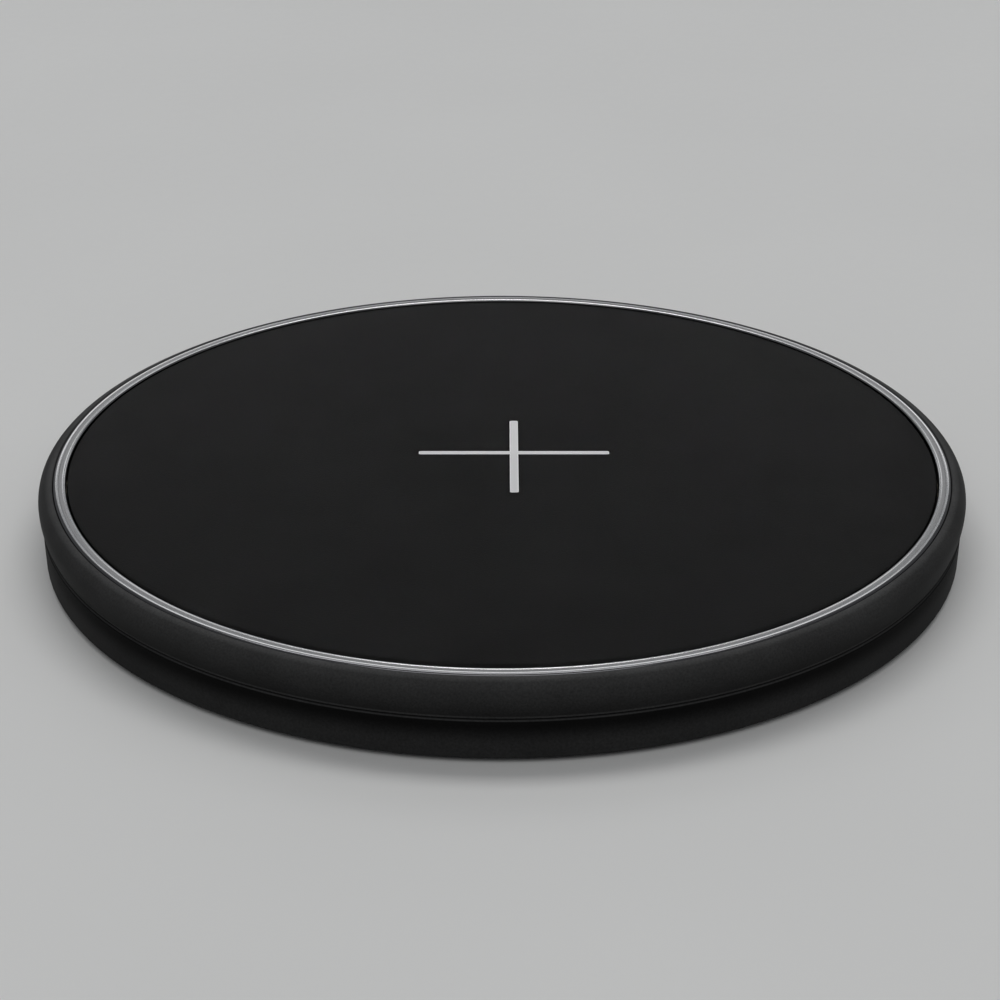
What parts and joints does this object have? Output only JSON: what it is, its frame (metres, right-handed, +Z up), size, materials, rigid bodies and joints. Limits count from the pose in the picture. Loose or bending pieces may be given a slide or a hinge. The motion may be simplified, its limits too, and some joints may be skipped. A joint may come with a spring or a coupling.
{
  "type": "wireless charging pad",
  "caption": "Round flat wireless charging pad with a matte black top and bulging side wall, a bright metal trim ring, a small plus mark and a USB-C socket at the back",
  "frame": {"origin": "on the desk surface under the centre of the pad", "axes": "+Z up through the pad's centre, +Y towards the back, where the USB-C socket opens, +X to the right seen from the front"},
  "size_m": [0.1, 0.1, 0.0088],
  "materials": {
    "cover_black": "matte soft-touch black with a fine even grain",
    "mark_silver": "silver-white inlay with a brighter edge",
    "ring_aluminium": "bright aluminium, polished on both rounded edges and finely brushed between them",
    "housing_black": "satin black moulded plastic",
    "base_black": "matte black moulded plastic",
    "foot_silicone": "dark grey soft silicone, slightly dusty",
    "adhesive_film": "pale translucent double-sided film",
    "coil_copper": "enamelled copper strand, warm and semi-gloss",
    "solder": "bright solder",
    "ferrite": "dark grey pressed ferrite, matte",
    "carrier_plastic": "natural off-white moulded plastic",
    "board_green": "green solder mask, semi-gloss",
    "chip_black": "black moulded chip package, fine matte",
    "capacitor_tan": "tan ceramic body with tinned ends",
    "passive_black": "dark body with tinned ends",
    "crystal_can": "plated can",
    "inductor_grey": "dark grey pressed powder block",
    "sensor_bead": "glossy brown epoxy bead",
    "lamp_white": "pale yellow lamp package",
    "lamp_clear": "clear moulded light pipe",
    "socket_steel": "plated drawn steel",
    "socket_black": "black moulded insulator",
    "contact_gold": "gold-plated contacts",
    "screw_steel": "zinc-plated steel"
  },
  "bodies": {
    "root": {"top_cover": "cover_black", "centre_mark": "mark_silver", "trim_ring": "ring_aluminium", "upper_housing": "housing_black", "base_cover": "base_black", "foot_ring": "foot_silicone", "foot_ring_adhesive": "adhesive_film", "ring_adhesive": "adhesive_film", "cover_adhesive": "adhesive_film", "coil_adhesive": "adhesive_film", "charging_coil": "coil_copper", "solder_joints": "solder", "ferrite_shield": "ferrite", "coil_carrier": "carrier_plastic", "circuit_board": "board_green", "controller_chip": "chip_black", "power_switches": "chip_black", "resonance_capacitors": "capacitor_tan", "input_capacitors": "capacitor_tan", "chip_passives": "passive_black", "clock_crystal": "crystal_can", "power_inductor": "inductor_grey", "temperature_sensor": "sensor_bead", "status_led": "lamp_white", "light_pipe": "lamp_clear", "usb_socket_shell": "socket_steel", "usb_socket_tongue": "socket_black", "usb_socket_contacts": "contact_gold", "housing_screws": "screw_steel", "carrier_screws": "screw_steel", "board_screws": "screw_steel"}
  },
  "joints": []
}
